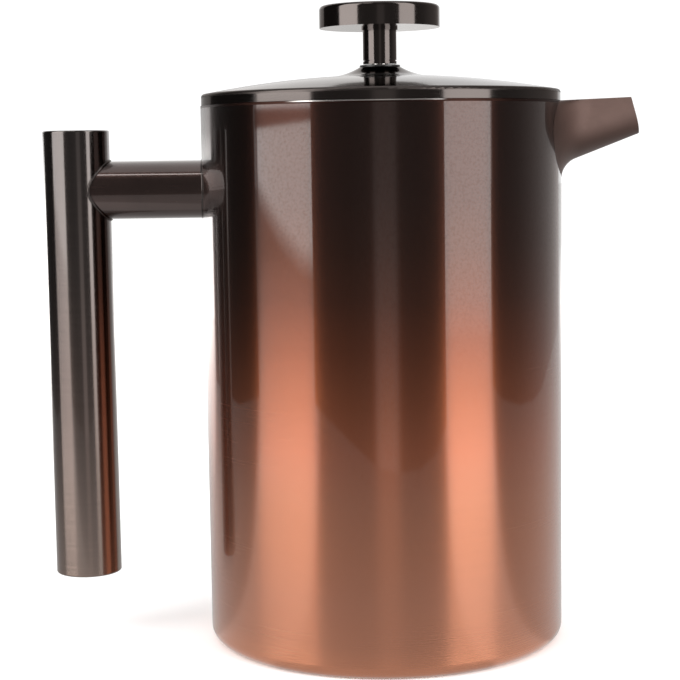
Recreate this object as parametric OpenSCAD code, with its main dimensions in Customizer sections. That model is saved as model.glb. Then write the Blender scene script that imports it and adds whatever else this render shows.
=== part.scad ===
// Double-walled press pot with a tube handle, a domed lid and a filter plunger.
// Millimetres, +Z up. The origin is on the pot's axis, in the plane that the foot stands on.
// The spout points along +X and the handle along -X. The plunger is pressed down.

/* [Pot] */
// Outer diameter of the pot
body_d = 105; // [90:1:130]
// Height of the rim above the table
body_h = 157; // [125:1:200]
// Thickness of the outer wall
shell_wall = 0.8; // [0.6:0.1:1.2]
// Thickness of the liner
liner_wall = 0.7; // [0.5:0.1:1.2]
// Air gap between the two walls
wall_gap = 3; // [2.6:0.1:6]
// Height of the liner's floor above the table
liner_floor_z = 7; // [6:0.5:12]
// Outer radius of the edge round the foot
foot_edge_r = 3.5; // [2:0.5:6]
// Radius between the liner's side and its floor
liner_edge_r = 8; // [4:1:14]
// Width of the ring that the pot stands on
foot_ring_w = 5; // [3:0.5:10]

/* [Spout] */
// How far the lower lip stands out from the wall
spout_reach = 22.6; // [12:0.2:32]
// How much further the lower lip stands out than the upper edge
spout_rake = 3; // [0:0.5:6]
// Width of the beak at its top edge, beside the wall
spout_root_w = 24; // [18:1:34]
// Width of the beak at its tip
spout_tip_w = 13; // [8:1:18]
// Depth of the beak beside the wall
spout_root_depth = 18.2; // [14:0.2:26]
// Depth of the beak at its tip
spout_tip_depth = 10.4; // [6:0.2:14]
// Reach of the blend between the beak's side and the wall
spout_flank_blend = 9; // [4:0.5:12]
// Reach of the blend between the beak's underside and the wall
spout_under_blend = 4; // [2:0.5:8]
// Thickness of the spout's sheet
spout_wall = 0.8; // [0.6:0.1:1.5]
// Width of the pouring notch through both walls
notch_w = 20; // [12:1:22]
// Depth of the pouring notch below the rim
notch_depth = 15.5; // [13:0.5:17]

/* [Handle] */
// Diameter of the upright grip tube
grip_d = 19.4; // [16:0.2:24]
// Distance from the pot's wall to the grip's axis
grip_offset = 37.2; // [32:0.2:50]
// Height of the grip's lower end above the table
grip_foot_gap = 18.6; // [8:0.2:40]
// How far the grip's top is below the rim
grip_top_drop = 6.4; // [2:0.2:12]
// Wall of the grip and arm tubes
tube_wall = 1.2; // [0.8:0.1:2]
// Diameter of the arm
arm_d = 17; // [14:0.2:19]
// How far the arm's axis is below the rim
arm_drop = 24; // [18:0.5:40]
// Thickness of a grip cap's head
cap_head = 1.4; // [1:0.1:3]
// Length of a grip cap's spigot
cap_spigot = 5; // [3:0.5:10]
// Diameter of the two bolts that hold the arm
arm_bolt_d = 4; // [3:0.5:4]

/* [Lid] */
// How much smaller than the pot the lid is, on the diameter
lid_inset = 0.5; // [0:0.1:3]
// Height of the lid's upright skirt
skirt_h = 2.4; // [1.5:0.1:6]
// Radius of the edge between the skirt and the dome
skirt_edge_r = 0.9; // [0.5:0.1:2]
// Rise of the dome from its edge to its middle
dome_rise = 4.9; // [3:0.1:10]
// Radius of the hub where the stem enters
hub_r = 6.1; // [5.8:0.1:8]
// Radius of the flare between the hub and the dome
hub_flare_r = 21; // [12:1:26]
// Thickness of the lid's sheet
lid_wall = 0.8; // [0.6:0.1:1.2]
// Depth of the pan that drops into the pot
plug_depth = 10; // [6:0.5:12]
// Radial play between the pan and the liner
plug_play = 0.4; // [0.3:0.05:1]
// Gap between the lid and the rim
lid_seat_gap = 0.1; // [0.05:0.05:0.3]

/* [Plunger] */
// Diameter of the plunger's rod
rod_d = 5; // [4:0.5:5.5]
// Radial running clearance of the rod in its bush
rod_clearance = 0.06; // [0.03:0.01:0.1]
// Radial running clearance of the bush in the hub's eyelet
bush_clearance = 0.06; // [0.03:0.01:0.1]
// Diameter of the short stem under the knob
stem_d = 9.8; // [8:0.2:11]
// Length of the stem that shows between the lid and the knob
stem_len = 10.4; // [8:0.1:30]
// Diameter of the knob
knob_d = 35; // [28:0.5:50]
// Thickness of the knob
knob_h = 6.4; // [5:0.1:14]
// Radius of the knob's top edge
knob_edge_r = 1.1; // [0.5:0.1:2]
// Wall of the knob's shell
knob_wall = 1; // [0.8:0.1:1.5]
// Height of the filter's nut above the liner's floor when the plunger is down
filter_floor_gap = 4; // [2:0.5:20]
// Radial play between the filter's edge and the liner
filter_play = 0.35; // [0.3:0.05:0.6]
// Outside radius of the coil spring's turns
coil_r = 1.6; // [1:0.1:2.5]
// Thickness of the filter's plates
plate_t = 0.8; // [0.6:0.1:1.2]
// Thickness of the woven screen
mesh_t = 0.4; // [0.3:0.1:0.8]

/* [Hidden] */
$fn = 96;
tiny = 0.01;

// Pot
body_r = body_d / 2;
shell_ir = body_r - shell_wall;
liner_or = shell_ir - wall_gap;
liner_ir = liner_or - liner_wall;
foot_ir = body_r - foot_edge_r - foot_ring_w;
plate_edge_r = foot_ir + 0.6 * foot_ring_w;
rim_z = body_h;
rim_under_z = rim_z - liner_wall;

// Spout
spout_arc_steps = 24;
spout_run_steps = 12;
spout_belly = 1.2;
spout_fall = 1.4;
spout_seam = 0.02;
spout_lip_rise = 0.8;
notch_r = notch_w / 2;

// Handle
grip_x = -body_r - grip_offset;
grip_r = grip_d / 2;
grip_z0 = grip_foot_gap;
grip_z1 = rim_z - grip_top_drop;
cap_round = 0.5;
arm_z = rim_z - arm_drop;
arm_r = arm_d / 2;
arm_ir = arm_r - tube_wall;
arm_plug_len = 9;
arm_bolt_pitch = 7.6;
arm_bolt_len = 8;
bolt_head_r = 3.5;
bolt_head_h = 1.2;
bolt_tip_gap = 0.5;
bolt_seat_gap = 0.15;
backing_t = 1;
backing_r = 12;

// Lid
lid_r = body_r - lid_inset / 2;
lid_z = rim_z + lid_seat_gap;
dome_edge_z = lid_z + skirt_h + skirt_edge_r;
dome_edge_r = lid_r - skirt_edge_r;
dome_sphere_r = (pow(dome_edge_r, 2) + pow(dome_rise, 2)) / (2 * dome_rise);
dome_fn = 1440;
flare_fn = 360;
dome_centre_z = dome_edge_z + dome_rise - dome_sphere_r;
flare_reach = hub_r + 10.5;
flare_z = dome_z(flare_reach) + hub_flare_r;
hub_top_z = flare_height(hub_r);
plug_r = liner_ir - plug_play;
plug_wall = 0.6;
plug_floor_z = lid_z - plug_depth;
eyelet_or = 5.2;
eyelet_flange_r = 8;
eyelet_flange_t = 0.7;

// Guide bush
bush_bore_r = rod_d / 2 + rod_clearance;
bush_or = 4.1;
eyelet_bore_r = bush_or + bush_clearance;
bush_flange_r = hub_r - 0.2;
bush_flange_t = 0.5;
bush_gap = 0.1;
bush_top_z = hub_top_z + bush_gap + bush_flange_t;
clip_r = 6;
clip_t = 0.8;
clip_gap = 0.2;
clip_top_z = plug_floor_z - eyelet_flange_t - clip_gap;
clip_groove_r = 3.5;
bush_bottom_z = clip_top_z - clip_t - 0.8;

// Knob and stem
stem_r = stem_d / 2;
stem_gap = 0.3;
stem_z = bush_top_z + stem_gap;
collar_h = 0.7;
collar_proud = 0.35;
knob_z = stem_z + stem_len;
knob_r = knob_d / 2;
knob_top_z = knob_z + knob_h;
stud_r = rod_d / 2 - 0.5;
insert_r = 6.5;
insert_top_z = knob_top_z - knob_wall;

// Filter
nut_z = liner_floor_z + filter_floor_gap;
nut_h = 3.5;
nut_flats = 9;
cross_z = nut_z + nut_h;
mesh_z = cross_z + plate_t;
spring_plate_z = mesh_z + mesh_t;
collar_z = spring_plate_z + plate_t;
rod_collar_h = 5;
rod_collar_r = 5;
filter_r = liner_ir - filter_play;
mesh_lip_h = 5;
coil_ring_r = filter_r - mesh_t - coil_r;
flange_r = coil_ring_r - coil_r - 0.05;
flange_h = 3.4;
cross_r = flange_r - 2;
stud_tail = 1.2;

// Height of the dome's outside at radius r
function dome_z(r) = dome_centre_z + sqrt(pow(dome_sphere_r, 2) - r * r);
// Height of the hub's flare at radius r
function flare_height(r) = flare_z - sqrt(pow(hub_flare_r, 2) - pow(flare_reach - r, 2));

// Disc or tube, from height z0 to z1, with an optional bore
module tube(r, z0, z1, bore = 0) {
    translate([0, 0, z0]) difference() {
        cylinder(r = r, h = z1 - z0);
        if (bore > 0) translate([0, 0, -1]) cylinder(r = bore, h = z1 - z0 + 2);
    }
}

// Half outline of a disc of radius r from z0 to z1, whose lower edge is rounded
module cup_outline(r, z0, z1, edge) {
    translate([0, z0 + edge]) square([r, z1 - z0 - edge]);
    translate([0, z0]) square([r - edge, edge + tiny]);
    intersection() {
        translate([r - edge, z0 + edge]) circle(r = edge);
        translate([0, z0]) square([r, edge + tiny]);
    }
}

// Half outline of the lid as if it were solid, shrunk by d all over
module lid_outline(d = 0) {
    shoulder_z = lid_z + skirt_h;
    translate([0, lid_z - d]) square([lid_r - d, skirt_h + d]);
    translate([lid_r - skirt_edge_r, shoulder_z]) circle(r = skirt_edge_r - d);
    intersection() {
        translate([0, dome_centre_z]) circle(r = dome_sphere_r - d, $fn = dome_fn);
        translate([0, lid_z]) square([dome_edge_r, 2 * dome_rise + skirt_h]);
    }
    difference() {
        translate([0, shoulder_z]) square([flare_reach, hub_top_z - d - shoulder_z]);
        translate([flare_reach, flare_z]) circle(r = hub_flare_r + d, $fn = flare_fn);
    }
}

// Outline of the pouring notch, grown by g, drawn as width and height
module notch_outline(g = 0) {
    translate([0, rim_z - notch_depth + notch_r]) circle(r = notch_r + g);
    translate([-notch_r - g, rim_z - notch_depth + notch_r]) square([notch_w + 2 * g, notch_depth]);
}

// The notch as a solid that runs outwards through the walls
module notch_solid(g = 0) {
    translate([liner_ir - 8, 0, 0]) rotate([90, 0, 90]) linear_extrude(body_r - liner_ir + 14) notch_outline(g);
}

// Horizontal cylinder along X at the arm's height
module arm_bar(r, x0, x1) {
    translate([x0, 0, arm_z]) rotate([0, 90, 0]) cylinder(r = r, h = x1 - x0);
}

// Places its children on each of the two bolt axes
module at_bolts() {
    for (side = [-1, 1]) translate([0, 0, side * arm_bolt_pitch / 2]) children();
}

module outer_shell() {
    color("#6b3b2e") difference() {
        rotate_extrude() difference() {
            cup_outline(body_r, 0, rim_under_z, foot_edge_r);
            translate([0, shell_wall]) cup_outline(shell_ir, 0, rim_z, foot_edge_r - shell_wall);
            translate([0, -1]) square([foot_ir, 3]);
        }
        notch_solid();
        at_bolts() arm_bar(arm_bolt_d / 2, -body_r - 1, -liner_or);
    }
}

module inner_liner() {
    color("silver") difference() {
        rotate_extrude() {
            difference() {
                cup_outline(liner_or, liner_floor_z - liner_wall, rim_z, liner_edge_r + liner_wall);
                translate([0, liner_floor_z]) cup_outline(liner_ir, 0, rim_z, liner_edge_r);
            }
            translate([liner_or - tiny, rim_under_z]) square([body_r - liner_or + tiny, liner_wall]);
        }
        notch_solid();
    }
}

module base_plate() {
    dish_r = foot_ir - 6;
    color("gray") rotate_extrude() polygon([
        [0, shell_wall + 1], [dish_r, shell_wall + 1], [dish_r + 2, shell_wall], [plate_edge_r, shell_wall],
        [plate_edge_r, 2 * shell_wall], [dish_r + 2, 2 * shell_wall], [dish_r, 2 * shell_wall + 1], [0, 2 * shell_wall + 1]
    ]);
}

// A point on the beak. a runs from -90 at one top edge through 0 underneath to 90 at the other,
// t runs from 0 at the wall to 1 at the tip, and d moves the point in by the sheet's thickness.
function spout_point(a, t, d) = let (
    side = sin(a),
    fall = pow(max(cos(a), 0), spout_fall),
    root_y = spout_root_w / 2 * side * (1 + spout_belly * pow(cos(a), 2)),
    tip_y = spout_tip_w / 2 * side * (1 + 0.4 * spout_belly * pow(cos(a), 2)),
    blend = spout_under_blend + (spout_flank_blend - spout_under_blend) * side * side,
    fade = 1 - pow(1 - min(1, cos(a) / 0.45), 2),
    u = t * (spout_reach - spout_rake * (1 - fall)),
    flare = u < blend ? fade * (blend - sqrt(pow(blend, 2) - pow(blend - u, 2))) : 0,
    y = root_y + (tip_y - root_y) * t + side * (flare - d),
    top_z = rim_z + spout_lip_rise * t,
    z = top_z - (spout_root_depth + (spout_tip_depth - spout_root_depth) * t) * fall - cos(a) * (flare - d),
    wall_x = sqrt(pow(body_r + spout_seam, 2) - y * y),
    tip_x = body_r + spout_reach - spout_rake * (1 - fall)
) [wall_x + (tip_x - wall_x) * t, y, z];

// The beak: a sheet of even thickness between an outer and an inner surface
module spout() {
    n = spout_arc_steps;
    last = spout_run_steps;
    runs = [for (k = [0 : last]) pow(k / last, 1.8)];
    row = 2 * (n + 1);
    points = [
        for (t = runs) each concat(
            [for (i = [0 : n]) spout_point(-90 + 180 * i / n, t, 0)],
            [for (i = [0 : n]) spout_point(-90 + 180 * i / n, t, spout_wall)]
        )
    ];
    // Two triangles for the quad a, b, c, d
    function quad(a, b, c, d) = [[a, b, c], [a, c, d]];
    outside = [for (k = [0 : last - 1], i = [0 : n - 1]) let (p = k * row + i)
        each quad(p, p + 1, p + row + 1, p + row)];
    inside = [for (k = [0 : last - 1], i = [0 : n - 1]) let (p = k * row + n + 1 + i)
        each quad(p, p + row, p + row + 1, p + 1)];
    edges = [for (k = [0 : last - 1]) let (p = k * row, q = p + n) each concat(
        quad(p, p + row, p + row + n + 1, p + n + 1), quad(q, q + n + 1, q + row + n + 1, q + row))];
    ends = [for (i = [0 : n - 1]) let (p = i, q = last * row + i) each concat(
        quad(p, p + n + 1, p + n + 2, p + 1), quad(q, q + 1, q + n + 2, q + n + 1))];
    color("#57423c") polyhedron(points, concat(outside, inside, edges, ends), convexity = 6);
}

// Strip that closes the gap between the walls round the pouring notch
module spout_throat() {
    color("silver") intersection() {
        difference() {
            notch_solid(spout_wall);
            notch_solid();
        }
        difference() {
            cylinder(r = shell_ir, h = rim_under_z);
            translate([0, 0, -1]) cylinder(r = liner_or, h = rim_z + 2);
        }
    }
}

module handle_arm() {
    color("#2e2422") difference() {
        arm_bar(arm_r, grip_x, 0);
        arm_bar(arm_ir, grip_x - 1, 1);
        cylinder(r = body_r, h = rim_z);
        translate([grip_x, 0, 0]) cylinder(r = grip_r, h = rim_z);
    }
}

module arm_plug() {
    color("gray") difference() {
        arm_bar(arm_ir, -body_r - arm_plug_len, 0);
        cylinder(r = body_r, h = rim_z);
        at_bolts() arm_bar(arm_bolt_d / 2, -body_r - arm_bolt_len, 0);
    }
}

module arm_backing_plate() {
    color("gray") difference() {
        intersection() {
            arm_bar(backing_r, -body_r, 0);
            tube(shell_ir, 0, rim_under_z, shell_ir - backing_t);
        }
        at_bolts() arm_bar(arm_bolt_d / 2, -body_r, 0);
    }
}

module arm_bolts() {
    // The head's inner face stays clear of the liner
    head_x = -shell_ir + backing_t + bolt_seat_gap;
    color("dimgray") at_bolts() {
        arm_bar(arm_bolt_d / 2, -body_r - arm_bolt_len + bolt_tip_gap, head_x + tiny);
        arm_bar(bolt_head_r, head_x, head_x + bolt_head_h);
    }
}

module handle_grip() {
    color("#4a403b") translate([grip_x, 0, 0]) {
        tube(grip_r, grip_z0 + cap_head, grip_z1 - cap_head, grip_r - tube_wall);
    }
}

// Cap with its head at z = 0 and its spigot rising from it
module grip_cap() {
    rotate_extrude() {
        cup_outline(grip_r, 0, cap_head, cap_round);
        square([grip_r - tube_wall, cap_head + cap_spigot]);
    }
}

module grip_bottom_cap() {
    color("#6b5d55") translate([grip_x, 0, grip_z0]) grip_cap();
}

module grip_top_cap() {
    color("#6b5d55") translate([grip_x, 0, grip_z1]) mirror([0, 0, 1]) grip_cap();
}

module lid_dome() {
    color("#3c3431") rotate_extrude() difference() {
        lid_outline();
        lid_outline(lid_wall);
        translate([0, lid_z - 1]) square([eyelet_or, hub_top_z]);
    }
}

module lid_plug() {
    flange_r = lid_r - lid_wall - 0.05;
    color("silver") rotate_extrude() difference() {
        union() {
            translate([0, plug_floor_z]) square([plug_r, plug_depth + plug_wall]);
            translate([0, lid_z]) square([flange_r, plug_wall]);
        }
        translate([0, plug_floor_z + plug_wall]) square([plug_r - plug_wall, plug_depth + 1]);
        translate([0, plug_floor_z - 1]) square([eyelet_or, 3]);
    }
}

// Tube that ties the dome and the pan together and carries the bush
module hub_eyelet() {
    color("silver") rotate_extrude() difference() {
        union() {
            translate([0, plug_floor_z]) square([eyelet_or, hub_top_z - plug_floor_z]);
            translate([0, plug_floor_z - eyelet_flange_t]) square([eyelet_flange_r, eyelet_flange_t]);
        }
        translate([-1, 0]) square([eyelet_bore_r + 1, hub_top_z + 1]);
    }
}

module guide_bush() {
    color("#151515") rotate_extrude() difference() {
        union() {
            translate([0, bush_bottom_z]) square([bush_or, bush_top_z - bush_bottom_z]);
            translate([0, bush_top_z - bush_flange_t]) square([bush_flange_r, bush_flange_t]);
        }
        translate([-1, 0]) square([bush_bore_r + 1, bush_top_z + 1]);
        translate([clip_groove_r, clip_top_z - clip_t]) square([clip_r, clip_t]);
    }
}

module bush_clip() {
    color("silver") tube(clip_r, clip_top_z - clip_t, clip_top_z, clip_groove_r);
}

module knob_cap() {
    color("#3c3431") rotate_extrude() difference() {
        translate([0, knob_top_z]) mirror([0, 1]) cup_outline(knob_r, 0, knob_h, knob_edge_r);
        translate([0, knob_z - 1]) square([knob_r - knob_wall, knob_h - knob_wall + 1]);
    }
}

module knob_base() {
    color("#3c3431") tube(knob_r - knob_wall, knob_z, knob_z + knob_wall, rod_d / 2);
}

// Threaded boss inside the knob
module knob_insert() {
    color("gray") rotate_extrude() difference() {
        translate([0, knob_z + knob_wall]) square([insert_r, insert_top_z - knob_z - knob_wall]);
        translate([-1, 0]) square([stud_r + 1, insert_top_z - 0.8]);
    }
}

// Short thick stem, with a thin groove near its foot
module stem_sleeve() {
    groove_z = stem_z + 0.8;
    groove = 0.3;
    color("#3c3431") rotate_extrude() difference() {
        translate([rod_d / 2, stem_z]) square([stem_r - rod_d / 2, stem_len - collar_h]);
        translate([stem_r - groove, groove_z]) square([1, groove]);
    }
}

module stem_collar() {
    color("#3c3431") tube(stem_r + collar_proud, knob_z - collar_h, knob_z, rod_d / 2);
}

module plunger_rod() {
    color("silver") rotate_extrude() polygon([
        [0, nut_z - stud_tail], [stud_r, nut_z - stud_tail], [stud_r, collar_z], [rod_d / 2, collar_z],
        [rod_d / 2, knob_z + knob_wall], [stud_r, knob_z + knob_wall], [stud_r, insert_top_z - 1.2],
        [0, insert_top_z - 1.2]
    ]);
}

// Hub that the filter stack is clamped against
module rod_collar() {
    chamfer = 1;
    color("silver") rotate_extrude() polygon([
        [rod_d / 2, collar_z], [rod_collar_r, collar_z], [rod_collar_r, collar_z + rod_collar_h - chamfer],
        [rod_collar_r - chamfer, collar_z + rod_collar_h], [rod_d / 2, collar_z + rod_collar_h]
    ]);
}

// Rings of round holes: one [ring radius, hole radius, count] for each ring
module hole_rings(rings, z) {
    for (ring = rings) for (i = [0 : ring[2] - 1]) rotate(360 * (i + 0.5) / ring[2])
        translate([ring[0], 0, z - 1]) cylinder(r = ring[1], h = plate_t + 2, $fn = 32);
}

// Perforated disc with an upright edge that the coil spring sits round
module spring_plate() {
    color("silver") difference() {
        rotate_extrude() {
            translate([stud_r, spring_plate_z]) square([flange_r - stud_r, plate_t]);
            translate([flange_r - plate_t, spring_plate_z]) square([plate_t, flange_h]);
        }
        hole_rings([for (k = [1 : 3]) [flange_r * (0.08 + 0.26 * k), 2, 8 * k]], spring_plate_z);
    }
}

// Outer shape of the coil spring round the filter's edge
module rim_spring() {
    color("silver") rotate_extrude()
        translate([coil_ring_r, spring_plate_z + coil_r + 0.05]) circle(r = coil_r, $fn = 48);
}

// Woven screen with its edge turned up round the spring
module mesh_screen() {
    color("#a8a49c") rotate_extrude() difference() {
        translate([stud_r, mesh_z]) square([filter_r - stud_r, mesh_lip_h]);
        translate([-1, mesh_z + mesh_t]) square([filter_r - mesh_t + 1, mesh_lip_h]);
    }
}

// Stiff plate under the screen
module cross_plate() {
    color("silver") difference() {
        tube(cross_r, cross_z, cross_z + plate_t, stud_r);
        hole_rings([[0.68 * cross_r, 0.165 * cross_r, 8], [0.28 * cross_r, 2.5, 8]], cross_z);
    }
}

module filter_nut() {
    color("silver") difference() {
        translate([0, 0, nut_z]) cylinder(d = nut_flats / cos(30), h = nut_h, $fn = 6);
        translate([0, 0, nut_z - 1]) cylinder(r = stud_r, h = nut_h + 2);
    }
}

outer_shell();
inner_liner();
base_plate();
spout();
spout_throat();
handle_arm();
arm_plug();
arm_backing_plate();
arm_bolts();
handle_grip();
grip_top_cap();
grip_bottom_cap();
lid_dome();
lid_plug();
hub_eyelet();
guide_bush();
bush_clip();
knob_cap();
knob_base();
knob_insert();
stem_sleeve();
stem_collar();
plunger_rod();
rod_collar();
spring_plate();
rim_spring();
mesh_screen();
cross_plate();
filter_nut();
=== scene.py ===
# %% [markdown]
# # A copper-to-black french press
# The maker's model holds every part with a real size: the double-walled pot, its
# spout and handle, the lid with its plug, and the plunger with its filter. Here
# those parts are loaded as they are, get their finishes, and gain the few pieces
# whose detail is too fine for the maker's model: the smooth pressed spout, the
# weld beads, the wound spring and the woven filter cloth.

import math

import bpy
import numpy as np
from mathutils import Matrix, Vector


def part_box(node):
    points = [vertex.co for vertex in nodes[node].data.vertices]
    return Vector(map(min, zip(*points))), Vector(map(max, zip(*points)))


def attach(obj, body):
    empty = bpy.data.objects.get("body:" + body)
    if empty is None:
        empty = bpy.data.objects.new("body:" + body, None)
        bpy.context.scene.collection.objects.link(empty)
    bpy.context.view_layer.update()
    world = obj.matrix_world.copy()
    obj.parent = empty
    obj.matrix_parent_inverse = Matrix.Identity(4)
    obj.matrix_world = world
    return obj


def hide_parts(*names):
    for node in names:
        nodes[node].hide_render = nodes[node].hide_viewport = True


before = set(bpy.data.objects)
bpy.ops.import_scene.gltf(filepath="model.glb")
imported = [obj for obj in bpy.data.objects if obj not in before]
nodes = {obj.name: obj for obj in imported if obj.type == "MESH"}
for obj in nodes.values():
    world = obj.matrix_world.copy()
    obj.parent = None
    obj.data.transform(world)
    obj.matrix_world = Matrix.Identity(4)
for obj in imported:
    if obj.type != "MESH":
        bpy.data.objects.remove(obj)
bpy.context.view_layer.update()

# %% [markdown]
# ## Sizes read from the parts
# A new piece has to meet its neighbours, so its sizes come from their boxes and
# not from typed numbers. Only the few sizes that a box can't tell, such as how
# far the spout narrows, are named here.

# %% Sizes
MM = 0.001
shell_low, shell_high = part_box("outer_shell")
spout_low, spout_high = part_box("spout")
arm_low, arm_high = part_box("handle_arm")
grip_low, grip_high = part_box("handle_grip")
spring_low, spring_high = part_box("rim_spring")
lid_low, lid_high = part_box("lid_dome")
screen_low, screen_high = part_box("mesh_screen")

body_r = shell_high.x
rim_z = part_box("inner_liner")[1].z
grip_x = (grip_low.x + grip_high.x) / 2
grip_r = (grip_high.y - grip_low.y) / 2
arm_z = (arm_low.z + arm_high.z) / 2
arm_r = (arm_high.z - arm_low.z) / 2
print("body radius", body_r, "rim height", rim_z)
print("grip at", grip_x, "radius", grip_r, "arm at", arm_z, "radius", arm_r)

# %% [markdown]
# ## Surfaces from numbers
# A new piece is a grid of points: one direction runs along the piece and the
# other runs round it. numpy works out all the points at once, and the faces join
# each point to its neighbours, so nothing is modelled by hand.

# %% Grid surfaces


def grid_faces(rows, columns, wrap_rows, wrap_columns):
    """Faces of a grid: each joins point (i, j) to (i, j + 1), (i + 1, j + 1), (i + 1, j)."""
    i = np.arange(rows if wrap_rows else rows - 1)[:, None]
    j = np.arange(columns if wrap_columns else columns - 1)[None, :]
    after_i, after_j = (i + 1) % rows, (j + 1) % columns
    here, beyond = i * columns, after_i * columns
    corners = (here + j, here + after_j, beyond + after_j, beyond + j)
    return np.stack(np.broadcast_arrays(*corners), -1).reshape(-1, 4)


def make_piece(name, points, faces, smooth_angle=35):
    """A mesh object at the origin, with its place in its mesh and faces smooth up to an angle."""
    mesh = bpy.data.meshes.new(name)
    mesh.from_pydata(np.reshape(points, (-1, 3)).tolist(), [], faces.tolist())
    mesh.update()
    piece = bpy.data.objects.new(name, mesh)
    bpy.context.scene.collection.objects.link(piece)
    mesh.polygons.foreach_set("use_smooth", np.ones(len(mesh.polygons), bool))
    mesh.set_sharp_from_angle(angle=math.radians(smooth_angle))
    print(name, len(mesh.vertices), "points", len(mesh.polygons), "faces")
    return piece


def swept_ring(path, across, up, radius, sides):
    """A round tube along a closed path: path + radius * (across * cos(turn) + up * sin(turn))."""
    turn = np.linspace(0, 2 * np.pi, sides, endpoint=False)[:, None]
    ring = across[:, None, :] * np.cos(turn) + up[:, None, :] * np.sin(turn)
    points = path[:, None, :] + radius * ring
    return points, grid_faces(len(path), sides, True, True)


# %% [markdown]
# ## The spout
# The real spout is a sheet of steel pressed into an open beak: a wide curved root
# welded to the pot, narrowing to a cut tip. It could be modelled from a bent
# plane with a modifier. A formula is used, because the edge that meets the round
# pot then lies on it exactly. Across the sheet an angle runs from one rim, round
# the belly, to the other rim; along it a share runs from the pot to the tip.

# %% Spout sheet
spout_reach = spout_high.x - body_r
spout_rake = 3 * MM
root_width, tip_width = 24 * MM, 13 * MM
root_depth, tip_depth = 18.2 * MM, 10.4 * MM
flank_blend, under_blend = 9 * MM, 4 * MM
spout_wall = 0.8 * MM
spout_fall, spout_belly, tip_belly = 1.4, 1.2, 0.48
flare_from = 0.45  # the flare fades out where cos(angle) is below this
lip_rise = spout_high.z - rim_z
seam_gap = 0.02 * MM


def spout_points(angle, share, inset):
    """Points of the beak: its half width goes from the root's to the tip's with the share,
    its depth falls with cos(angle) to a power, and it flares out as a quarter circle near
    the pot."""
    side, ahead = np.sin(angle), np.clip(np.cos(angle), 0, 1)
    fall = ahead**spout_fall
    root_y = root_width / 2 * side * (1 + spout_belly * ahead**2)
    tip_y = tip_width / 2 * side * (1 + tip_belly * ahead**2)
    blend = under_blend + (flank_blend - under_blend) * side**2
    fade = 1 - (1 - np.clip(ahead / flare_from, 0, 1)) ** 2
    reach = spout_reach - spout_rake * (1 - fall)
    along = np.minimum(share * reach, blend)
    flare = fade * (blend - np.sqrt(np.maximum(blend**2 - (blend - along) ** 2, 0)))
    y = root_y + (tip_y - root_y) * share + side * (flare - inset)
    z = rim_z + lip_rise * share - (root_depth + (tip_depth - root_depth) * share) * fall
    z = z - ahead * (flare - inset)
    wall_x = np.sqrt((body_r + seam_gap) ** 2 - y**2)
    x = wall_x + (body_r + reach - wall_x) * share
    return np.stack([x, y, z], -1)


spout_across, spout_along = 96, 60
CROWDING = 1.8  # above 1, the points crowd towards the pot, where the flare bends most
across_angle = np.radians(np.linspace(-90, 90, spout_across))
along_share = (np.linspace(0, 1, spout_along) ** CROWDING)[:, None]
outside = spout_points(across_angle[None, :], along_share, 0.0)
inside = spout_points(across_angle[None, ::-1], along_share, spout_wall)
print("spout sheet from", outside.min((0, 1)), "to", outside.max((0, 1)))

# %% [markdown]
# ## The spout's cut edges
# Pressed sheet has a thickness, which shows at its cut edges. Solidify would add
# it, but its rim wouldn't lie on the pot. So an inner surface is worked out too,
# and strips of faces join the two along the rims, at the root and at the tip.

# %% Close the spout's edges
sheet_loop = np.concatenate([outside, inside], 1)
wall_faces = grid_faces(spout_along, 2 * spout_across, False, True)
first = np.arange(spout_across - 1)
partner = 2 * spout_across - 1 - first
root_faces = np.stack([first + 1, first, partner, partner - 1], -1)
tip_faces = root_faces[:, ::-1] + (spout_along - 1) * 2 * spout_across
beak_faces = np.concatenate([wall_faces, root_faces, tip_faces])
beak = make_piece("spout_sheet", sheet_loop, beak_faces, 40)
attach(beak, "pot")
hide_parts("spout")

# %% [markdown]
# ## Weld beads
# The handle is three tubes brazed together. Where two round tubes meet, the joint
# is a saddle-shaped line, and a thin bead of filler lies along it. A bead could be
# a curve object with a bevel. It is swept from numbers instead, because the line
# where two cylinders cross has an exact formula, so the bead sits in the corner
# all the way round.

# %% Beads round the arm
BEAD_STEPS, BEAD_SIDES = 160, 12


def along_path(path):
    """Unit steps along a closed path: half of the next point minus the one before."""
    step = np.roll(path, -1, 0) - np.roll(path, 1, 0)
    return step / np.linalg.norm(step, axis=1, keepdims=True)


def saddle_bead(name, centre_x, wall_r, side, bead_r, stand):
    """A bead where the arm meets an upright cylinder: at a turn t round the arm,
    y = r cos t, z = arm + r sin t, and x lies on the wall,
    centre + side * sqrt(wall^2 - y^2). Both radii are larger by the stand."""
    turn = np.linspace(0, 2 * np.pi, BEAD_STEPS, endpoint=False)
    ring_r = arm_r + stand
    y, rise = ring_r * np.cos(turn), ring_r * np.sin(turn)
    x = centre_x + side * np.sqrt((wall_r + stand) ** 2 - y**2)
    path = np.stack([x, y, arm_z + rise], -1)
    wall_out = np.stack([x - centre_x, y, np.zeros_like(y)], -1)
    wall_out /= np.linalg.norm(wall_out, axis=1, keepdims=True)
    beside = np.cross(along_path(path), wall_out)
    points, faces = swept_ring(path, wall_out, beside, bead_r, BEAD_SIDES)
    bead = make_piece(name, points, faces, 180)
    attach(bead, "pot")
    return bead


beads = [
    saddle_bead("pot_joint_bead", 0.0, body_r, -1, 0.28 * MM, 0.06 * MM),
    saddle_bead("grip_joint_bead", grip_x, grip_r, 1, 0.42 * MM, 0.08 * MM),
]

# %% [markdown]
# ## The wound spring
# The filter's edge is held to the wall by a long spring bent into a ring. The
# maker's model keeps only its outer shape. Here the wire is wound for real: its
# path is a small circle carried round a large one, and a thin tube follows it.

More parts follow.
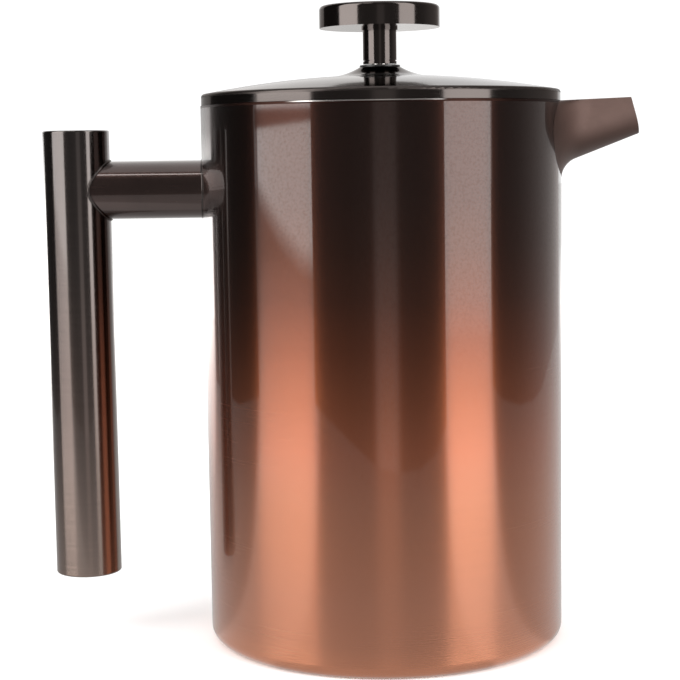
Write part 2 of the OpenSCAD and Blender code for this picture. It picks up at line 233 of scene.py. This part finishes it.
# %% Spring round the filter
spring_thick = spring_high.z - spring_low.z
spring_ring_r = spring_high.x - spring_thick / 2
spring_z = (spring_low.z + spring_high.z) / 2
spring_wire_r = 0.28 * MM
spring_coil_r = spring_thick / 2 - spring_wire_r
SPRING_TURNS, TURN_STEPS, WIRE_SIDES = 210, 16, 6


def wound_ring():
    """The wire's path: at an angle a round the ring and b = turns * a round the coil, its
    distance from the middle is ring + coil * cos b and its height is coil * sin b."""
    steps = SPRING_TURNS * TURN_STEPS
    around = np.linspace(0, 2 * np.pi, steps, endpoint=False)
    wound = SPRING_TURNS * around
    out = np.stack([np.cos(around), np.sin(around), np.zeros(steps)], -1)
    lift = np.array([0.0, 0.0, 1.0])
    across = out * np.cos(wound)[:, None] + lift * np.sin(wound)[:, None]
    path = out * spring_ring_r + across * spring_coil_r + lift * spring_z
    beside = np.cross(along_path(path), across)
    beside /= np.linalg.norm(beside, axis=1, keepdims=True)
    points, faces = swept_ring(path, across, beside, spring_wire_r, WIRE_SIDES)
    return make_piece("wound_spring", points, faces, 180)


spring = wound_ring()
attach(spring, "plunger")
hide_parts("rim_spring")

# %% [markdown]
# ## Shader sums
# A finish is a small sum over a surface: how high a point is, how the brush ran
# there, how much lacquer lies on it. Wiring such a sum by hand takes many boxes.
# Here a socket is wrapped so that Python's own signs add the Math nodes.

# %% Sockets as numbers


class Reading:
    """One output of a node. Signs on it add Math nodes, so a sum reads as it is written."""

    def __init__(self, finish, socket):
        self.finish, self.socket = finish, socket

    def __add__(self, other):
        return self.finish.sum("ADD", self, other)

    def __sub__(self, other):
        return self.finish.sum("SUBTRACT", self, other)

    def __rsub__(self, other):
        return self.finish.sum("SUBTRACT", other, self)

    def __mul__(self, other):
        return self.finish.sum("MULTIPLY", self, other)

    def __truediv__(self, other):
        return self.finish.sum("DIVIDE", self, other)

    __radd__, __rmul__ = __add__, __mul__


print("sums on sockets ready")

# %% [markdown]
# ## A finish being mixed
# Every finish starts from the same few steps: where a point is, noise of some
# grain size, a smooth step, two colours mixed. Each step is one short method, and
# all of them go through a single one that adds a node, so a finish below reads as
# a recipe.

# %% Steps of a finish


class Finish:
    """A material being mixed: one method adds any node, and a few name common steps."""

    def __init__(self, name):
        self.material = bpy.data.materials.new(name)
        self.material.use_nodes = True
        self.tree = self.material.node_tree
        self.tree.nodes.clear()
        self.place = self.node("ShaderNodeTexCoord", {}, {}, "Object")

    def node(self, kind, settings, sockets, output=0):
        """Adds a node: its settings, then each socket's value or link; returns an output."""
        made = self.tree.nodes.new(kind)
        for key, value in settings.items():
            if key == "stops":
                self.set_stops(made.color_ramp, value)
            else:
                setattr(made, key, value)
        for key, value in sockets.items():
            if isinstance(value, Reading):
                self.tree.links.new(made.inputs[key], value.socket)
            else:
                made.inputs[key].default_value = value
        return Reading(self, made.outputs[output]) if len(made.outputs) else None

    def set_stops(self, ramp, stops):
        """A colour ramp's stops, as (place, colour) pairs in rising order."""
        while len(ramp.elements) < len(stops):
            ramp.elements.new(1.0)
        for element, (place, colour) in zip(ramp.elements, stops):
            element.position, element.color = place, (*colour, 1)

    def sum(self, operation, *terms):
        """A Math node on sockets and numbers."""
        return self.node("ShaderNodeMath", {"operation": operation}, dict(enumerate(terms)))

    def axis(self, index):
        """A point's x, y or z in metres, for 0, 1 or 2."""
        return self.node("ShaderNodeSeparateXYZ", {}, {0: self.place}, index)

    def stretch(self, scale):
        """Object coordinates in metres, times a scale for each axis."""
        return self.node("ShaderNodeMapping", {}, {"Vector": self.place, "Scale": scale})

    def from_axis(self):
        """A point's distance from the pot's axis: the length of (x, y, 0)."""
        flat = {0: self.stretch((1, 1, 0))}
        return self.node("ShaderNodeVectorMath", {"operation": "LENGTH"}, flat, 1)

    def noise(self, scale, detail=2.0, rough=0.5):
        """Noise from 0 to 1 whose features are 1 / scale metres along each axis."""
        sockets = {"Vector": self.stretch(scale), "Scale": 1.0, "Detail": detail}
        return self.node("ShaderNodeTexNoise", {}, {**sockets, "Roughness": rough})

    def band(self, value, low, high, start=0.0, end=1.0):
        """A value's smooth step: start below low, end above high."""
        settings = {"interpolation_type": "SMOOTHSTEP"}
        sockets = {"From Min": low, "From Max": high, "To Min": start, "To Max": end}
        return self.node("ShaderNodeMapRange", settings, {"Value": value, **sockets})

    def mixed(self, first, second, share, blend="MIX"):
        """Two colours mixed by a share."""
        settings = {"data_type": "RGBA", "blend_type": blend}
        return self.node("ShaderNodeMix", settings, {0: share, 6: first, 7: second}, 2)

    def ramp(self, value, stops):
        """A colour for a value, from a list of (value, colour) stops."""
        return self.node("ShaderNodeValToRGB", {"stops": stops}, {0: value})

    def lit(self, tint, light):
        """A colour made lighter or darker by a number, 1 leaving it as it is."""
        grey = self.node("ShaderNodeCombineColor", {}, {i: light for i in range(3)})
        return self.mixed(tint, grey, 1.0, "MULTIPLY")

    def bump(self, height, distance):
        """A normal from a height; the distance is in metres."""
        return self.node("ShaderNodeBump", {}, {"Height": height, "Distance": distance})

    def surface(self, sockets):
        """Ends the material in one Principled shader."""
        shader = self.node("ShaderNodeBsdfPrincipled", {}, sockets)
        self.node("ShaderNodeOutputMaterial", {}, {"Surface": shader})
        return self.material


def colour(red, green, blue):
    """A linear colour with full alpha, for a socket."""
    return (red, green, blue, 1.0)


ROUND_BRUSH = 0.25  # turns the tangent a quarter, so highlights run along the axis
print("steps of a finish ready")

# %% [markdown]
# ## The fading copper lacquer
# The pot is brushed steel under a tinted clear lacquer that fades from bright
# copper at the foot to a brown that is nearly black at the rim. The brush ran
# round the pot, so lights draw out into tall streaks, while the clear coat over
# it still mirrors their sharp edges. A ramp by height gives the colour, noise
# drawn out round the pot gives the brush lines, and a coat gives the mirror.

# %% Copper lacquer
COPPER_STOPS = (
    (0.000, (0.720, 0.285, 0.156)),
    (0.060, (0.560, 0.226, 0.130)),
    (0.134, (0.512, 0.206, 0.120)),
    (0.222, (0.478, 0.184, 0.101)),
    (0.309, (0.440, 0.164, 0.089)),
    (0.397, (0.392, 0.127, 0.064)),
    (0.484, (0.284, 0.086, 0.039)),
    (0.572, (0.180, 0.052, 0.023)),
    (0.660, (0.098, 0.031, 0.016)),
    (0.747, (0.060, 0.021, 0.012)),
    (0.835, (0.043, 0.0165, 0.011)),
    (1.000, (0.034, 0.014, 0.010)),
)


def lacquered_copper():
    mix = Finish("fading_copper_lacquer")
    height = mix.axis(2) / rim_z
    spray = mix.noise((60, 60, 60), 3)
    fleck = mix.noise((2200, 2200, 2200), 1)
    fade = height + (spray - 0.5) * 0.02 + (fleck - 0.5) * 0.03
    lines = mix.noise((18, 18, 6500), 3, 0.6)
    clear = mix.band(height, 0.2, 0.7, 1.0, 0.15)
    light = (lines - 0.5) * clear * 0.11 + 1.0 + (fleck - 0.5) * 0.12
    worn = mix.noise((9, 9, 30), 3)
    rough = 0.27 + (lines - 0.5) * clear * 0.02 + (worn - 0.5) * 0.02
    skin = mix.noise((900, 900, 900), 1)
    peel = mix.noise((1500, 1500, 1500), 2, 0.6)
    return mix.surface({
        "Base Color": mix.lit(mix.ramp(fade, COPPER_STOPS), light),
        "Metallic": 1.0,
        "Roughness": rough,
        "Anisotropic": 0.85,
        "Anisotropic Rotation": ROUND_BRUSH,
        "Coat Weight": mix.band(peel, 0.25, 0.6, 0.78, 1.02),
        "Coat Roughness": 0.04,
        "Coat IOR": 1.5,
        "Normal": mix.bump(skin, 0.001 * MM),
    })


copper_finish = lacquered_copper()
print(copper_finish.name)

# %% [markdown]
# ## The dark lacquer
# The arm and the spout carry the same lacquer at its darkest, the spout a lighter
# tint of it. They have no fade, only faint clouds of tint. The arm has a thicker
# clear coat that mirrors more sharply; the spout's coat is thin and rough.

# %% Dark lacquer


def darker(tint, share):
    """A colour with each part of it times a share."""
    return colour(*(share * part for part in tint))


def dark_lacquer(name, tint, rough, coat, coat_rough):
    mix = Finish(name)
    cloud = mix.noise((90, 90, 90), 3)
    body = mix.mixed(colour(*tint), darker(tint, 0.6), cloud)
    lines = mix.noise((120, 1800, 1800), 2)
    return mix.surface({
        "Base Color": body,
        "Metallic": 1.0,
        "Roughness": rough + (lines - 0.5) * 0.08,
        "Coat Weight": coat,
        "Coat Roughness": coat_rough,
        "Coat IOR": 1.5,
        "Normal": mix.bump(cloud, 0.004 * MM),
    })


arm_finish = dark_lacquer("dark_lacquer", (0.078, 0.048, 0.042), 0.26, 1.0, 0.03)
beak_finish = dark_lacquer("dark_lacquer_beak", (0.130, 0.082, 0.070), 0.56, 0.15, 0.30)
print(arm_finish.name, beak_finish.name)

# %% [markdown]
# ## Black nickel
# The lid, knob and stem are plated with black nickel: a metal mirror with a warm
# dark cast. Faint polishing marks run round the lid, and small wipes and dust
# change how sharp it is from place to place. The lid's rounded edge is rubbed
# duller by the hands that lift it.

# %% Black nickel
EDGE_FOOT_Z = rim_z + 2.2 * MM  # where the lid's upright skirt turns into its rounded edge


def black_nickel():
    mix = Finish("black_nickel")
    wipe = mix.noise((35, 35, 35), 4, 0.6)
    tint = mix.mixed(colour(0.078, 0.067, 0.063), colour(0.064, 0.055, 0.052), wipe)
    rings = mix.noise((500, 500, 2500), 2)
    rubbed = mix.band(mix.from_axis(), lid_high.x - 1.6 * MM, lid_high.x - 1.0 * MM)
    rubbed = rubbed * mix.band(mix.axis(2), EDGE_FOOT_Z, EDGE_FOOT_Z + 0.3 * MM)
    return mix.surface({
        "Base Color": tint,
        "Metallic": 1.0,
        "Roughness": 0.11 + (wipe - 0.5) * 0.05 + (rings - 0.5) * 0.02 + rubbed * 0.20,
        "Specular Tint": colour(0.62, 0.60, 0.59),
        "Coat Weight": 0.15 - rubbed * 0.15,
        "Coat Roughness": 0.04,
        "Normal": mix.bump(wipe, 0.003 * MM),
    })


nickel_finish = black_nickel()
print(nickel_finish.name)

# %% [markdown]
# ## Brushed gunmetal
# The grip is a tube turned in a lathe and plated dark grey. Its colour is set by
# height: dark grey at the top, lighter and warmer low down. Its brush lines run
# round it, so it shows long upright streaks with crisp sides.

# %% Gunmetal
GRIP_STOPS = (
    (0.10, (0.262, 0.198, 0.170)),
    (0.45, (0.138, 0.106, 0.095)),
    (0.70, (0.105, 0.088, 0.082)),
    (0.95, (0.082, 0.072, 0.069)),
)


def gunmetal():
    mix = Finish("brushed_gunmetal")
    lines = mix.noise((60, 60, 4200), 3, 0.6)
    cloud = mix.noise((30, 30, 12), 2)
    # colour by height: dark grey at the top, lighter and warmer low down
    tint = mix.ramp(mix.axis(2) / rim_z + (cloud - 0.5) * 0.06, GRIP_STOPS)
    return mix.surface({
        "Base Color": mix.lit(tint, 1.0 + (lines - 0.5) * 0.30),
        "Metallic": 1.0,
        "Roughness": 0.22 + (lines - 0.5) * 0.12,
        "Anisotropic": 0.85,
        "Anisotropic Rotation": ROUND_BRUSH,
        "Coat Weight": 0.5,
        "Coat Roughness": 0.05,
    })


gunmetal_finish = gunmetal()
print(gunmetal_finish.name)

# %% [markdown]
# ## The steels
# Inside, the steel stays bare: satin on the lid's pan and the filter plates,
# bright on the rod and the spring, and dull where it is hidden. Each has its own
# brush and its own wear, so one recipe takes them as numbers.

# %% Steels


def steel(name, tint, rough, brush, turned):
    mix = Finish(name)
    lines = mix.noise(brush, 3, 0.6)
    stain = mix.noise((45, 45, 45), 4)
    return mix.surface({
        "Base Color": mix.mixed(colour(*tint), darker(tint, 0.8), stain * 0.5 + lines * 0.3),
        "Metallic": 1.0,
        "Roughness": rough + (lines - 0.5) * 0.14 + (stain - 0.5) * 0.08,
        "Anisotropic": 0.6 if turned else 0.0,
        "Anisotropic Rotation": ROUND_BRUSH,
        "Normal": mix.bump(lines, 0.004 * MM),
    })


satin_finish = steel("satin_steel", (0.46, 0.445, 0.43), 0.30, (40, 40, 3000), True)
hidden_finish = steel("hidden_steel", (0.50, 0.48, 0.46), 0.42, (900, 900, 900), False)
polished_finish = steel("polished_steel", (0.50, 0.485, 0.47), 0.16, (300, 300, 400), False)
print(satin_finish.name, hidden_finish.name, polished_finish.name)

# %% [markdown]
# ## The liner's rim
# The rim's outer edge is coloured dark like the lacquer, and only a thin bright
# line of bare steel is left at its top, in front. It could be a piece of its own,
# but a mask by place keeps the rim one sheet of steel.

# %% Sprayed rim


def dark_edged_rim():
    """Satin steel inside; dark like the lacquer on the outer edge, but for a thin bare line at
    its top in front.
    """
    mix = Finish("satin_steel_dark_edged_rim")
    x = mix.axis(0)
    lines = mix.noise((40, 40, 3000), 3, 0.6)
    edge = mix.band(mix.from_axis(), body_r - 0.5 * MM, body_r - 0.3 * MM)
    bare_front_line = mix.band(mix.axis(2), rim_z - 0.34 * MM, rim_z - 0.26 * MM)
    bare_front_line = bare_front_line * mix.band(x, -26 * MM, -20 * MM) * mix.band(x, 14 * MM, 18 * MM, 1.0, 0.0)
    # the outer edge is coloured dark like the lacquer, except a thin bare line at its top in
    # front
    dark_edge = edge * (1.0 - bare_front_line)
    bare = mix.mixed(colour(0.66, 0.64, 0.62), colour(0.54, 0.52, 0.50), lines)
    return mix.surface({
        "Base Color": mix.mixed(bare, colour(0.030, 0.014, 0.011), dark_edge),
        "Metallic": 1.0,
        "Roughness": 0.28 + (lines - 0.5) * 0.14 + dark_edge * 0.15,
        "Anisotropic": 0.6,
        "Anisotropic Rotation": ROUND_BRUSH,
        "Normal": mix.bump(lines, 0.004 * MM),
    })


rim_finish = dark_edged_rim()
print(rim_finish.name)

# %% [markdown]
# ## The woven screen
# The screen is a cloth of fine wire: two sets of waves that cross, each higher
# where the other is low, give its over-and-under weave. The low places between
# the wires are painted dark, as painted shade. On the upturned lip the same waves
# run round the screen and up it, or they would smear there.

# %% Wire cloth


def woven_cloth(wire_gap):
    """Steel wire cloth: the higher of a wave along x and one along y, each lifted in turn
    by a wave of half the rate; on the lip, a wave round the screen and one up it."""
    mix = Finish("woven_steel")
    turns = 2 * math.pi / wire_gap
    x, y, upright = (mix.axis(index) * turns for index in range(3))
    over = (x + y) * 0.5
    around = mix.sum("ARCTAN2", y, x) * (screen_high.x * turns)
    warp, weft, over, around, rising = (
        mix.sum("COSINE", turn) for turn in (x, y, over, around, upright))
    flat = mix.sum("MAXIMUM", warp + over * 0.4, weft - over * 0.4)
    lip = mix.sum("MAXIMUM", around, rising)
    on_lip = mix.band(mix.from_axis(), screen_high.x - 0.5 * MM, screen_high.x - 0.3 * MM)
    height = flat * (1.0 - on_lip) + lip * on_lip
    # painted shade: the low places between the wires are coloured near black
    painted_gap_shade = mix.band(height, -0.6, 0.5)
    stain = mix.noise((45, 45, 45), 4)
    wire = mix.mixed(colour(0.42, 0.405, 0.39), colour(0.32, 0.31, 0.30), stain)
    return mix.surface({
        "Base Color": mix.mixed(colour(0.05, 0.045, 0.04), wire, painted_gap_shade),
        "Metallic": 1.0,
        "Roughness": 0.32 + (stain - 0.5) * 0.1,
        "Normal": mix.bump(height, 0.05 * MM),
    })


woven_finish = woven_cloth(0.55 * MM)
print(woven_finish.name)

# %% [markdown]
# ## The plastic
# The bush that guides the rod is black plastic, moulded in a tool with a fine
# matt grain, which noise gives to its colour, its roughness and its bump alike.

# %% Plastic


def black_plastic():
    mix = Finish("black_plastic")
    grain = mix.noise((2500, 2500, 2500), 2)
    return mix.surface({
        "Base Color": mix.mixed(
            colour(0.012, 0.011, 0.011), colour(0.022, 0.021, 0.020), grain),
        "Roughness": 0.34 + (grain - 0.5) * 0.2,
        "Normal": mix.bump(grain, 0.01 * MM),
    })


plastic_finish = black_plastic()
print(plastic_finish.name)

# %% [markdown]
# ## Finishes on the parts
# Each part came with a plain material named for its slot, so one table from slot
# to finish dresses them all. The rim and the spout are the two exceptions.

# %% Put the finishes on the parts
FINISHES = {
    "copper_lacquer": copper_finish,
    "dark_lacquer": arm_finish,
    "black_nickel": nickel_finish,
    "brushed_gunmetal": gunmetal_finish,
    "satin_steel": satin_finish,
    "hidden_steel": hidden_finish,
    "polished_steel": polished_finish,
    "woven_steel": woven_finish,
    "black_plastic": plastic_finish,
}
for part in nodes.values():
    slots = part.data.materials
    for index, given in enumerate(slots):
        slots[index] = FINISHES[given.name.split(".")[0]]
nodes["inner_liner"].data.materials[0] = rim_finish
beak.data.materials.append(beak_finish)
for bead in beads:
    bead.data.materials.append(nickel_finish)
spring.data.materials.append(polished_finish)
print("finished parts:", len(nodes))

# %% [markdown]
# ## Studio
# A shiny pot shows its room more than itself. It stands on a white table under
# two tall soft lights, in a white room. The table is made twice as a wide flat
# disc: here the one that light falls on, which the metal doesn't mirror, and
# further down a glowing one that only the metal mirrors.

# %% Table
WHITE_REACH = 6.0


def flat_disc(name, radius, height, rings, turns):
    """A flat round sheet: rings of points whose radii grow as the square of their number."""
    out = np.linspace(0.002, 1, rings)[:, None] ** 2 * radius
    turn = np.linspace(0, 2 * np.pi, turns, endpoint=False)[None, :]
    level = np.full((rings, turns), height)
    points = np.stack([out * np.cos(turn), out * np.sin(turn), level], -1)
    sheet = make_piece(name, points, grid_faces(rings, turns, False, True))
    return sheet


def paint(name, tint, rough):
    mix = Finish(name)
    cloud = mix.noise((3, 3, 3), 2)
    body = mix.mixed(colour(*tint), darker(tint, 0.99), cloud)
    return mix.surface({"Base Color": body, "Roughness": rough})


table_top = flat_disc("table_top", WHITE_REACH, shell_low.z - 0.05 * MM, 12, 96)
table_top.data.materials.append(paint("white_table", (0.97, 0.97, 0.97), 0.6))
table_top.visible_glossy = False

# %% [markdown]
# ## Sheets for the metal to mirror
# Long dark and light bands in polished metal are reflections of upright things
# round it. They could be real boxes and cloths, but those would shade the table
# and stand in the picture. Here they are sheets that glow by numbers stored on
# their points and that only reflections see.

# %% Hung sheets
SHEET_COLUMNS = 49


def lit_by_points(name, tint):
    """A sheet that shines as strongly as its own "glow" numbers say."""
    mix = Finish(name)
    glow = mix.node("ShaderNodeAttribute", {"attribute_name": "glow"}, {}, 2)
    light = mix.node("ShaderNodeEmission", {}, {"Color": colour(*tint), "Strength": glow})
    mix.node("ShaderNodeOutputMaterial", {}, {"Surface": light})
    return mix.material


warm_grey = lit_by_points("warm_grey_cloth", (1.0, 0.93, 0.90))
lamp_white = lit_by_points("lamp_white", (1.0, 0.985, 0.97))


def mirror_only(sheet, glow):
    """A stage sheet that only reflections see, with its glow stored on its points."""
    glows = sheet.data.attributes.new("glow", "FLOAT", "POINT")
    glows.data.foreach_set("value", np.ravel(glow).astype(np.float32))
    sheet.visible_camera = sheet.visible_diffuse = sheet.visible_shadow = False
    sheet.visible_transmission = sheet.visible_volume_scatter = False


def hung_sheet(name, bearings, reach, heights, glows, material):
    """An upright sheet round the pot. Bearings run from the camera's side in degrees. The
    reach and each row of heights and glows are one number, or one for each bearing with
    straight lines between."""
    turn = np.linspace(bearings[0], bearings[-1], SHEET_COLUMNS)

    def spread(row):
        return np.interp(turn, bearings, np.broadcast_to(row, len(bearings)))

    z, glow = (np.array([spread(row) for row in rows]) for rows in (heights, glows))
    x, y = spread(reach) * np.sin(np.radians(turn)), -spread(reach) * np.cos(np.radians(turn))
    points = np.stack(np.broadcast_arrays(x, y, z), -1)
    sheet = make_piece(name, points, grid_faces(len(heights), SHEET_COLUMNS, False, False))
    sheet.data.materials.append(material)
    mirror_only(sheet, glow)


print("sheets glow by their points")

# %% [markdown]
# ## The table as the metal sees it
# In front of each lamp the white table is bright, and behind each cloth it is
# dim. The pot's lower half mirrors that. The glow is a small chart of bearings
# and distances, and each point of the disc reads its own value from it.

# %% Glowing table
POOL_REACHES = (0.0, 0.25, 0.35, 0.60, 0.90, 1.10, 2.00)
TABLE_GLOWS = {  # bearing: glow at each of those distances
    -180: (0.5, 0.6, 0.7, 1.2, 2.4, 3.0, 1.0),
    -136: (0.5, 0.6, 0.8, 1.4, 2.8, 3.4, 1.0),
    -131: (0.54, 0.50, 0.42, 0.42, 0.5, 0.5, 0.5),
    -84: (0.54, 0.50, 0.42, 0.42, 0.5, 0.5, 0.5),
    -80: (0.55, 1.15, 1.80, 1.70, 1.45, 1.2, 0.6),
    -41: (0.55, 1.15, 1.80, 1.70, 1.45, 1.2, 0.6),
    -37: (0.55,) * 7,
    35: (0.55,) * 7,
    38: (0.60, 1.30, 1.90, 2.00, 2.5, 2.4, 0.6),
    67: (0.60, 1.30, 1.90, 2.00, 2.5, 2.4, 0.6),
    71: (0.55, 0.55, 0.55, 0.55, 0.6, 0.6, 0.6),
    110: (0.62, 0.62, 0.62, 0.62, 0.6, 0.6, 0.6),
    150: (0.64, 0.64, 0.64, 0.64, 0.7, 0.7, 0.7),
    180: (0.5, 0.6, 0.7, 1.2, 2.4, 3.0, 1.0),
}


def table_glow(points):
    """Glow of each table point: straight lines between the chart's bearings and distances."""
    reach = np.hypot(points[:, 0], points[:, 1])
    bearing = np.degrees(np.arctan2(points[:, 0], -points[:, 1]))
    rows = TABLE_GLOWS.values()
    at_reach = np.array([np.interp(reach, POOL_REACHES, row) for row in rows])
    turns = np.array(list(TABLE_GLOWS))
    after = np.clip(np.searchsorted(turns, bearing), 1, len(turns) - 1)
    share = (bearing - turns[after - 1]) / (turns[after] - turns[after - 1])
    each = np.arange(len(points))
    return at_reach[after - 1, each] * (1 - share) + at_reach[after, each] * share


table_shine = flat_disc("table_shine", WHITE_REACH, shell_low.z - 0.04 * MM, 120, 360)
table_shine.data.materials.append(lamp_white)
shine_points = np.empty(len(table_shine.data.vertices) * 3)
table_shine.data.vertices.foreach_get("co", shine_points)
mirror_only(table_shine, table_glow(shine_points.reshape(-1, 3)))

# %% [markdown]
# ## Cloths and the bright wall
# Dark cloths hang in front, to the right and to the left, and make the long dark
# bands between the streaks. The front one is thin in the middle, so a faint warm
# band shows in it. Behind the grip the wall is bright low down, which gives the
# pot's left side its light edge.

# %% Cloths round the pot
CLOTH_TOP = 1.6
FRONT_BEARINGS = (-41.5, -33, -20, -6, -3, 7, 10, 20, 30, 37)
FRONT_REACHES = (0.55, 0.495, 0.43, 0.37, 0.36, 0.35, 0.35, 0.354, 0.39, 0.47)
FRONT_HIGH = (0.15, 0.15, 0.15, 0.17, 0.25, 0.25, 0.18, 0.17, 0.17, 0.17)
FRONT_GLOWS = (
    (0.15, 0.15, 0.15, 0.22, 0.95, 0.95, 0.22, 0.17, 0.17, 0.17),
    (0.15, 0.15, 0.15, 0.20, 0.54, 0.54, 0.20, 0.17, 0.17, 0.17),
    FRONT_HIGH,
    FRONT_HIGH,
)
hung_sheet("cloth_front", FRONT_BEARINGS, FRONT_REACHES,
           (0.0, 0.12, 0.26, CLOTH_TOP), FRONT_GLOWS, warm_grey)
hung_sheet("cloth_right", (69.5, 76, 90, 105, 116, 130, 150),
           (0.60, 0.545, 0.515, 0.52, 0.56, 0.70, 0.9),
           (0.0, CLOTH_TOP), ((0.16, 0.16, 0.20, 0.30, 0.36, 0.42, 0.6),) * 2, warm_grey)
hung_sheet("cloth_left", (-132, -120, -100, -82), (0.60, 0.56, 0.52, 0.56),
           (0.0, CLOTH_TOP), ((0.06, 0.05, 0.05, 0.05),) * 2, warm_grey)
WALL_FOOT = (0.9, 1.3, 2.2, 4.0, 4.0)
hung_sheet("bright_back", (-180, -160, -148, -136, -133.5), 1.0,
           (0.0, 0.10, 0.16, 0.22, 0.30, 1.3),
           (WALL_FOOT, WALL_FOOT, 0.5, 0.5, 1.1, 1.1), lamp_white)

# %% [markdown]
# ## Soft lights
# Two tall lamps make the two streaks. The left one's foot is cut on a slant and
# fades out, so its streak ends in a slant on the pot. A thin strip over the
# handle draws the bright line along the arm.

# %% Lamps that the metal mirrors
LAMP_REACH, RIGHT_REACH = 1.0, 0.9
LEFT_GLOW, RIGHT_GLOW = 4.8, 4.2
LAMP_TOP = 1.3
hung_sheet("left_lamp", (-81, -64.6, -51, -39, -37.5), LAMP_REACH,
           ((0.095, 0.059, 0.037, 0.029, 0.029),
            (0.110, 0.074, 0.052, 0.044, 0.044),
            (0.125, 0.090, 0.068, 0.060, 0.060), LAMP_TOP),
           (0.6, 0.45 * LEFT_GLOW, LEFT_GLOW, LEFT_GLOW), lamp_white)
hung_sheet("left_lamp_bar", (-83, -36), LAMP_REACH - 0.01,
           ((0.161, 0.168), 0.178), (0.1, 0.1), warm_grey)
hung_sheet("right_lamp", (36, 69.5), RIGHT_REACH,
           (0.0, 0.03, 0.07, LAMP_TOP), (2.7, 3.7, RIGHT_GLOW, RIGHT_GLOW), lamp_white)

STRIP_TILT = math.radians(63)
STRIP_COLUMNS, STRIP_ROWS = 9, 3


def overhead_strip(middle, length, width, glow):
    """A thin lamp above the handle: its length lies along x, and its width leans by the
    tilt, w * sin(tilt) along y and w * cos(tilt) up."""
    along = np.linspace(-length / 2, length / 2, STRIP_COLUMNS)[:, None]
    across = np.linspace(-width / 2, width / 2, STRIP_ROWS)[None, :]
    x, y, z = middle
    lean = (x + along, y + across * math.sin(STRIP_TILT), z + across * math.cos(STRIP_TILT))
    points = np.stack(np.broadcast_arrays(*lean), -1)
    faces = grid_faces(STRIP_COLUMNS, STRIP_ROWS, False, False)
    sheet = make_piece("overhead_strip", points, faces)
    sheet.data.materials.append(lamp_white)
    mirror_only(sheet, np.full(STRIP_COLUMNS * STRIP_ROWS, glow))


overhead_strip((-0.14, -0.222, arm_z + 0.448), 0.13, 0.040, 7.0)

# %% [markdown]
# ## Light on the table
# The sheets above light nothing but the metal. Two area lights of the same size
# and place light the rest, and the white world fills in the shadows.

# %% Lights and world
LAMP_HEIGHT, LAMP_MIDDLE, LAMP_WATTS = 1.2, 0.7, 13
WORLD_GLOW = 1.12


def soft_light(name, bearing, width):
    """A tall soft light that faces the pot from a bearing in degrees."""
    lamp = bpy.data.lights.new(name, "AREA")
    lamp.shape = "RECTANGLE"
    lamp.size, lamp.size_y = width, LAMP_HEIGHT
    lamp.energy = LAMP_WATTS
    piece = bpy.data.objects.new(name, lamp)
    turn = math.radians(bearing)
    piece.location = (LAMP_REACH * math.sin(turn), -LAMP_REACH * math.cos(turn), LAMP_MIDDLE)
    piece.rotation_euler = (math.radians(90), 0, turn)
    piece.visible_camera = piece.visible_glossy = False
    bpy.context.scene.collection.objects.link(piece)


soft_light("left_light", -61, 0.72)
soft_light("right_light", 53, 0.60)

world = bpy.data.worlds.new("white_room")
bpy.context.scene.world = world
world.use_nodes = True
white_room = world.node_tree.nodes["Background"].inputs
white_room["Color"].default_value = colour(1, 1, 1)
white_room["Strength"].default_value = WORLD_GLOW
bpy.context.scene.view_settings.view_transform = "Standard"
print("lights:", len(bpy.data.lights), "world", WORLD_GLOW)

# %% [markdown]
# ## Camera
# The camera stands half a metre in front of the pot, a little below its rim, and
# looks slightly down. So near a view makes the pot narrow towards its foot. A
# constraint could aim it, but three angles say plainly where it looks.

# %% Camera
CAMERA_PLACE = (0.0, -0.500, 0.14445)
CAMERA_PITCH, CAMERA_YAW, CAMERA_ROLL = (math.radians(a) for a in (6.47, -1.47, -0.845))
LENS_MM, SENSOR_MM = 89.68, 36
NEAREST, FURTHEST = 0.01, 50


def aimed_camera():
    """A camera from pitch (down), yaw (to the right) and roll: the columns of its turn are
    its right, its up and its backwards."""
    ahead = Vector((math.sin(CAMERA_YAW) * math.cos(CAMERA_PITCH),
                    math.cos(CAMERA_YAW) * math.cos(CAMERA_PITCH), -math.sin(CAMERA_PITCH)))
    right = Vector((math.cos(CAMERA_YAW), -math.sin(CAMERA_YAW), 0))
    above = right.cross(ahead)
    rolled_right = right * math.cos(CAMERA_ROLL) + above * math.sin(CAMERA_ROLL)
    rolled_up = above * math.cos(CAMERA_ROLL) - right * math.sin(CAMERA_ROLL)
    turn = Matrix((rolled_right, rolled_up, -ahead)).transposed().to_4x4()
    lens = bpy.data.cameras.new("camera")
    lens.lens, lens.sensor_width = LENS_MM, SENSOR_MM
    lens.clip_start, lens.clip_end = NEAREST, FURTHEST
    camera = bpy.data.objects.new("camera", lens)
    bpy.context.scene.collection.objects.link(camera)
    camera.matrix_world = Matrix.Translation(CAMERA_PLACE) @ turn
    return camera


bpy.context.scene.camera = aimed_camera()
print("camera at", CAMERA_PLACE)
